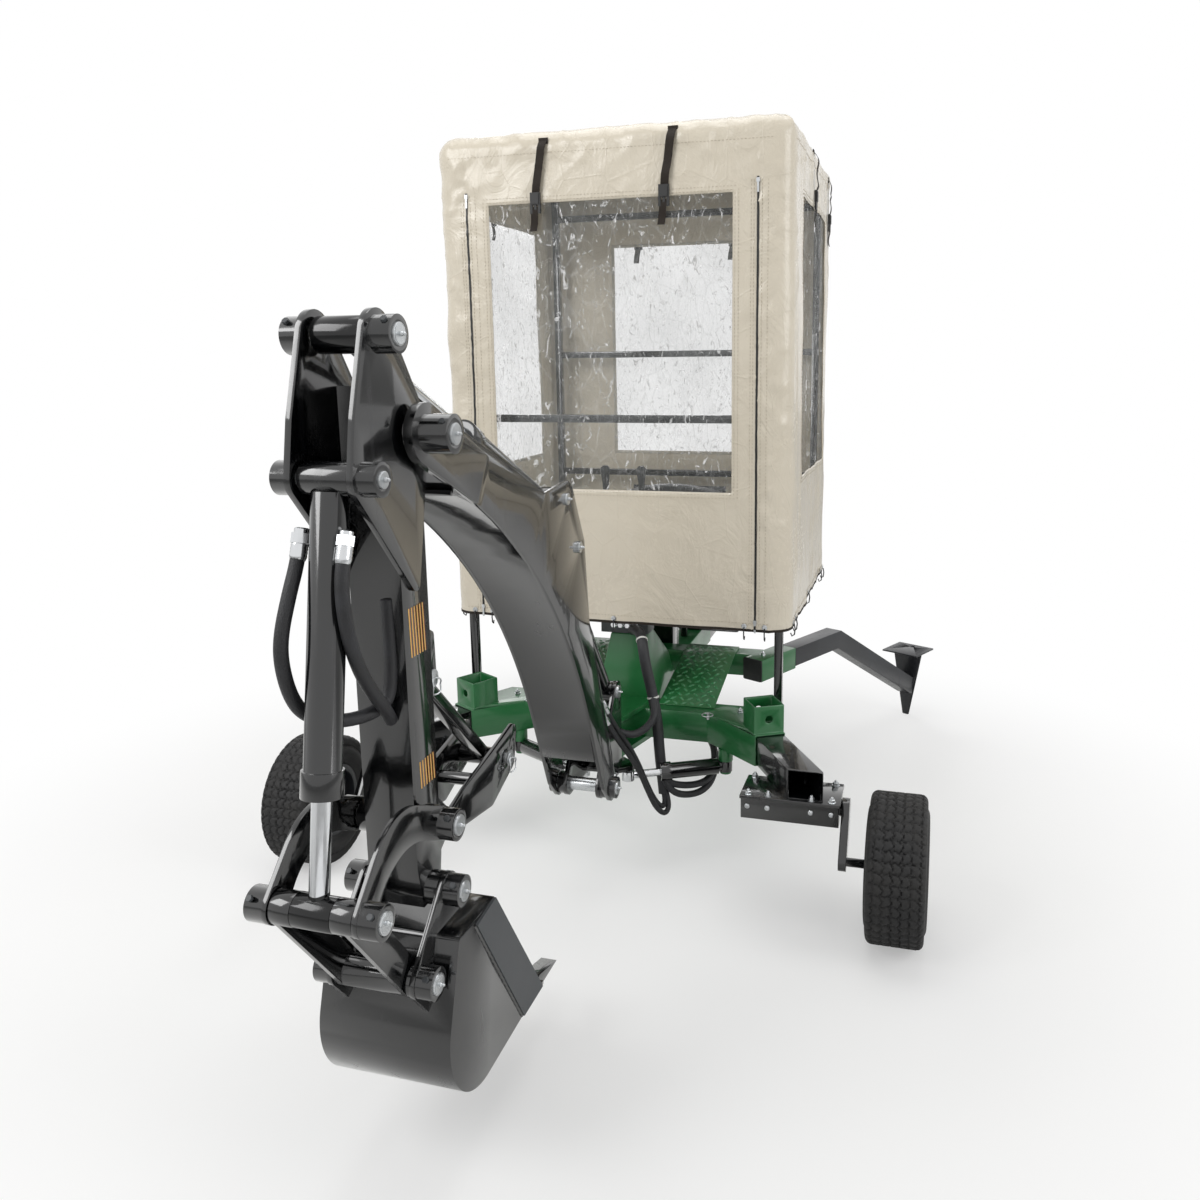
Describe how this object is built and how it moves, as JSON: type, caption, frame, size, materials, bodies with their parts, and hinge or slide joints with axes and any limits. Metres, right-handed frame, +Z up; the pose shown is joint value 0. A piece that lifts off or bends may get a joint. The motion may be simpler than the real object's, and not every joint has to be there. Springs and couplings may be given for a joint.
{
  "type": "towed backhoe attachment",
  "caption": "Towed backhoe attachment: two-wheeled green frame with splayed support legs, fabric cab with clear windows, and a black digging arm with bucket and thumb",
  "frame": {"origin": "on the ground, on the centre plane, under the middle of the overall length", "axes": "+X to the right seen from the bucket end, +Y towards the tow coupling, +Z up"},
  "size_m": [2.03, 3.637, 2.297],
  "materials": {
    "arm_paint": "gloss",
    "leg_paint": "satin",
    "green_paint": "gloss",
    "zinc": "satin",
    "chrome": "polished",
    "tyre_rubber": "matte",
    "cover_cloth": "gloss",
    "window_film": "clear",
    "seat_vinyl": "satin",
    "black_plastic": "matte",
    "cast_grey": "satin"
  },
  "bodies": {
    "chassis": {"crossmember": "green_paint", "main_rail": "green_paint", "leg_sleeves": "green_paint", "sleeve_caps": "black_plastic", "console": "green_paint", "tread_plates": "green_paint", "drawbar": "arm_paint", "tow_coupling": "zinc", "axle_tubes": "arm_paint", "axle_boxes": "arm_paint", "suspension_arms": "arm_paint", "swing_bracket": "green_paint", "cab_frame_left": "arm_paint", "cab_frame_right": "arm_paint", "cab_top_ring": "arm_paint", "cab_bars_front": "arm_paint", "cab_bars_rear": "arm_paint", "cover_front": "cover_cloth", "cover_rear": "cover_cloth", "cover_left": "cover_cloth", "cover_right": "cover_cloth", "cover_roof": "cover_cloth", "windows": "window_film", "seat": "seat_vinyl", "seat_pedestal": "arm_paint", "control_valve": "cast_grey", "levers": "chrome", "power_unit": "arm_paint"},
    "swing_post": {"swing_post": "arm_paint", "post_pin": "zinc"},
    "boom": {"boom": "arm_paint", "boom_pins": "zinc"},
    "dipper": {"dipper": "arm_paint", "dipper_pins": "zinc", "thumb": "arm_paint", "thumb_strut": "arm_paint", "thumb_pins": "zinc"},
    "bucket": {"bucket": "arm_paint", "bucket_pins": "zinc"},
    "guide_links": {"guide_links": "arm_paint", "link_pins": "zinc"},
    "bucket_link": {"bucket_link": "arm_paint"},
    "wheel_left": {"rim_left": "leg_paint", "tyre_left": "tyre_rubber"},
    "wheel_right": {"rim_right": "leg_paint", "tyre_right": "tyre_rubber"},
    "support_leg_left": {"support_leg_left": "leg_paint"},
    "support_leg_right": {"support_leg_right": "leg_paint"},
    "boom_cylinder_barrel": {"boom_cylinder_barrel": "arm_paint"},
    "boom_cylinder_rod": {"boom_cylinder_rod": "chrome"},
    "dipper_cylinder_barrel": {"dipper_cylinder_barrel": "arm_paint"},
    "dipper_cylinder_rod": {"dipper_cylinder_rod": "chrome"},
    "bucket_cylinder_barrel": {"bucket_cylinder_barrel": "arm_paint"},
    "bucket_cylinder_rod": {"bucket_cylinder_rod": "chrome"},
    "swing_cylinder_left_barrel": {"swing_cylinder_left_barrel": "arm_paint"},
    "swing_cylinder_left_rod": {"swing_cylinder_left_rod": "chrome"},
    "swing_cylinder_right_barrel": {"swing_cylinder_right_barrel": "arm_paint"},
    "swing_cylinder_right_rod": {"swing_cylinder_right_rod": "chrome"}
  },
  "joints": [
    {"name": "swing", "type": "hinge", "parent": "chassis", "child": "swing_post", "pos_m": [0, -0.2175, 0.4], "axis": [0, 0, 1], "range_deg": [-50, 50]},
    {"name": "boom_lift", "type": "hinge", "parent": "swing_post", "child": "boom", "pos_m": [0, -0.4635, 0.348], "axis": [1, 0, 0], "range_deg": [-10, 50]},
    {"name": "dipper_crowd", "type": "hinge", "parent": "boom", "child": "dipper", "pos_m": [0, -1.5025, 1.479], "axis": [-1, 0, 0], "range_deg": [-20, 75]},
    {"name": "bucket_curl", "type": "hinge", "parent": "dipper", "child": "bucket", "pos_m": [0, -1.4995, 0.592], "axis": [1, 0, 0], "range_deg": [-40, 55]},
    {"name": "guide_swing", "type": "hinge", "parent": "dipper", "child": "guide_links", "pos_m": [0, -1.5085, 0.734], "axis": [1, 0, 0], "range_deg": [-30, 40]},
    {"name": "link_swing", "type": "hinge", "parent": "guide_links", "child": "bucket_link", "pos_m": [0, -1.7865, 0.694], "axis": [1, 0, 0], "range_deg": [-13, 10]},
    {"name": "boom_cylinder_tilt", "type": "hinge", "parent": "swing_post", "child": "boom_cylinder_barrel", "pos_m": [0, -0.2975, 0.588], "axis": [1, 0, 0], "range_deg": [-11, 50]},
    {"name": "boom_cylinder_stroke", "type": "slide", "parent": "boom_cylinder_barrel", "child": "boom_cylinder_rod", "axis": [0, -0.6005, 0.7996], "range_m": [-0.06, 0.25]},
    {"name": "dipper_cylinder_tilt", "type": "hinge", "parent": "boom", "child": "dipper_cylinder_barrel", "pos_m": [0, -0.7815, 1.261], "axis": [-1, 0, 0], "range_deg": [-3, 8.5]},
    {"name": "dipper_cylinder_stroke", "type": "slide", "parent": "dipper_cylinder_barrel", "child": "dipper_cylinder_rod", "axis": [0, -0.9022, 0.4313], "range_m": [-0.21, 0.06]},
    {"name": "bucket_cylinder_tilt", "type": "hinge", "parent": "dipper", "child": "bucket_cylinder_barrel", "pos_m": [0, -1.6655, 1.415], "axis": [1, 0, 0], "range_deg": [-4, 5]},
    {"name": "bucket_cylinder_stroke", "type": "slide", "parent": "bucket_cylinder_barrel", "child": "bucket_cylinder_rod", "axis": [0, -0.1655, -0.9862], "range_m": [-0.11, 0.15]},
    {"name": "swing_cylinder_left_tilt", "type": "hinge", "parent": "chassis", "child": "swing_cylinder_left_barrel", "pos_m": [-0.36, -0.1075, 0.299], "axis": [0, 0, 1], "range_deg": [-8.5, 8.5]},
    {"name": "swing_cylinder_left_stroke", "type": "slide", "parent": "swing_cylinder_left_barrel", "child": "swing_cylinder_left_rod", "axis": [0.8785, -0.4778, 0], "range_m": [-0.062, 0.062]},
    {"name": "wheel_left_turn", "type": "hinge", "parent": "chassis", "child": "wheel_left", "pos_m": [-0.919, -0.4755, 0.206], "axis": [1, 0, 0], "continuous": true},
    {"name": "support_leg_left_slide", "type": "slide", "parent": "chassis", "child": "support_leg_left", "axis": [-0.4462, 0.8949, 0], "range_m": [0, 0.12]},
    {"name": "swing_cylinder_right_tilt", "type": "hinge", "parent": "chassis", "child": "swing_cylinder_right_barrel", "pos_m": [0.36, -0.1075, 0.299], "axis": [0, 0, 1], "range_deg": [-8.5, 8.5]},
    {"name": "swing_cylinder_right_stroke", "type": "slide", "parent": "swing_cylinder_right_barrel", "child": "swing_cylinder_right_rod", "axis": [-0.8785, -0.4778, 0], "range_m": [-0.062, 0.062]},
    {"name": "wheel_right_turn", "type": "hinge", "parent": "chassis", "child": "wheel_right", "pos_m": [0.919, -0.4755, 0.206], "axis": [1, 0, 0], "continuous": true},
    {"name": "support_leg_right_slide", "type": "slide", "parent": "chassis", "child": "support_leg_right", "axis": [0.4462, 0.8949, 0], "range_m": [0, 0.12]}
  ],
  "couplings": [
    {"joint": "guide_swing", "follows": "bucket_curl", "ratio": 0.67},
    {"joint": "link_swing", "follows": "bucket_curl", "ratio": -0.22},
    {"joint": "boom_cylinder_tilt", "follows": "boom_lift", "ratio": 0.98},
    {"joint": "boom_cylinder_stroke", "follows": "boom_lift", "m_per_rad": 0.2807},
    {"joint": "dipper_cylinder_tilt", "follows": "dipper_crowd", "ratio": 0.1},
    {"joint": "dipper_cylinder_stroke", "follows": "dipper_crowd", "m_per_rad": -0.1576},
    {"joint": "bucket_cylinder_tilt", "follows": "bucket_curl", "ratio": 0.08},
    {"joint": "bucket_cylinder_stroke", "follows": "bucket_curl", "m_per_rad": 0.1547},
    {"joint": "swing_cylinder_left_tilt", "follows": "swing", "ratio": -0.13},
    {"joint": "swing_cylinder_left_stroke", "follows": "swing", "m_per_rad": 0.0573},
    {"joint": "swing_cylinder_right_tilt", "follows": "swing", "ratio": -0.13},
    {"joint": "swing_cylinder_right_stroke", "follows": "swing", "m_per_rad": -0.0573}
  ]
}
